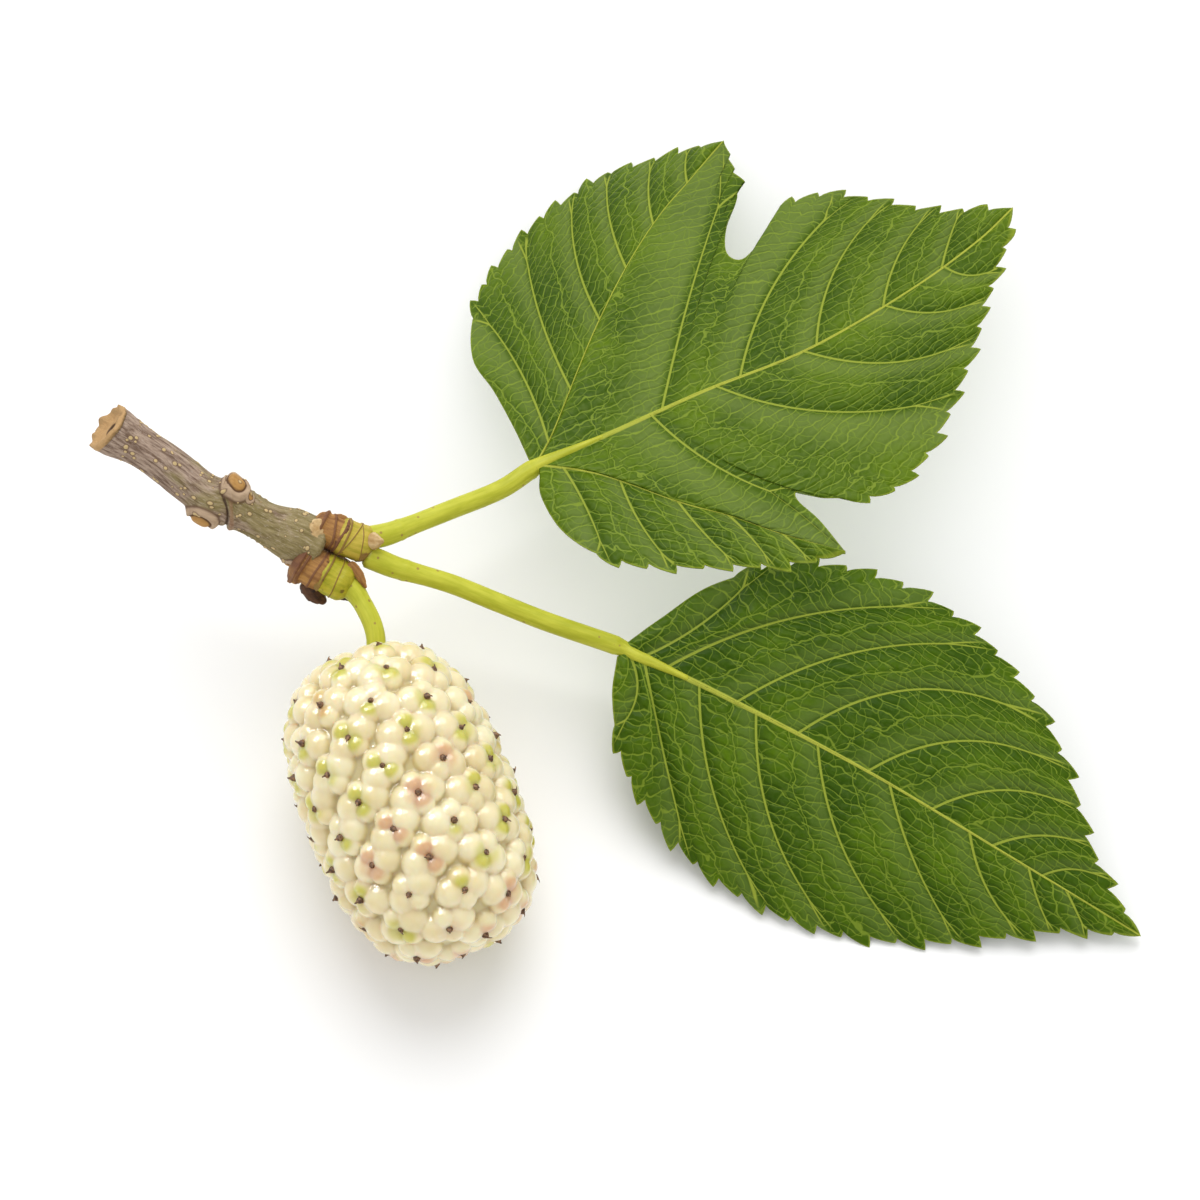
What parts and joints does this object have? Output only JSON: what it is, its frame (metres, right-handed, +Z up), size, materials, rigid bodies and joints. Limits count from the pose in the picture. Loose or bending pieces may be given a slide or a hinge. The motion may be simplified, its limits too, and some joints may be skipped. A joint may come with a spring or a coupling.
{
  "type": "mulberry sprig",
  "caption": "Cut sprig of white mulberry lying down: short woody twig, one ripe pale fruit on its stalk, one plain and one lobed toothed leaf on long stalks.",
  "frame": {"origin": "middle of the sprig's box, on the surface it lies on", "axes": "+X from the twig's cut end towards the leaf tips, the longest extent; +Y away from the fruit towards the lobed leaf; +Z up from the surface"},
  "size_m": [0.1024, 0.0912, 0.0268],
  "materials": {
    "bark": "matte grey-brown bark with olive patches and small pale raised pores",
    "spur_bark": "matte orange-brown bark ringed by scale scars",
    "green_bark": "satin yellow-green young bark with brown rings",
    "dark_bud": "matte dark brown bud scales",
    "pale_bud": "matte tan bud and scar tissue",
    "stalk_green": "satin yellow-green stalk, tinged pinkish tan in places",
    "leaf_green": "satin green leaf with a fine net of paler veins, quilted between them",
    "fruit_white": "glossy, translucent creamy white, tinged green and pink round each dry brown style"
  },
  "bodies": {
    "root": {"twig": "bark", "fruit_spur": "spur_bark", "fruit_shoot": "green_bark", "leaf_spur": "spur_bark", "leaf_shoot": "green_bark", "bud_dark": "dark_bud", "bud_pale": "pale_bud", "bud_axil": "pale_bud", "bud_scale": "spur_bark", "leaf_stalk_upper": "stalk_green", "leaf_stalk_lower": "stalk_green", "fruit_stalk": "stalk_green", "fruit": "fruit_white", "leaf_upper": "leaf_green", "leaf_lower": "leaf_green"}
  },
  "joints": []
}
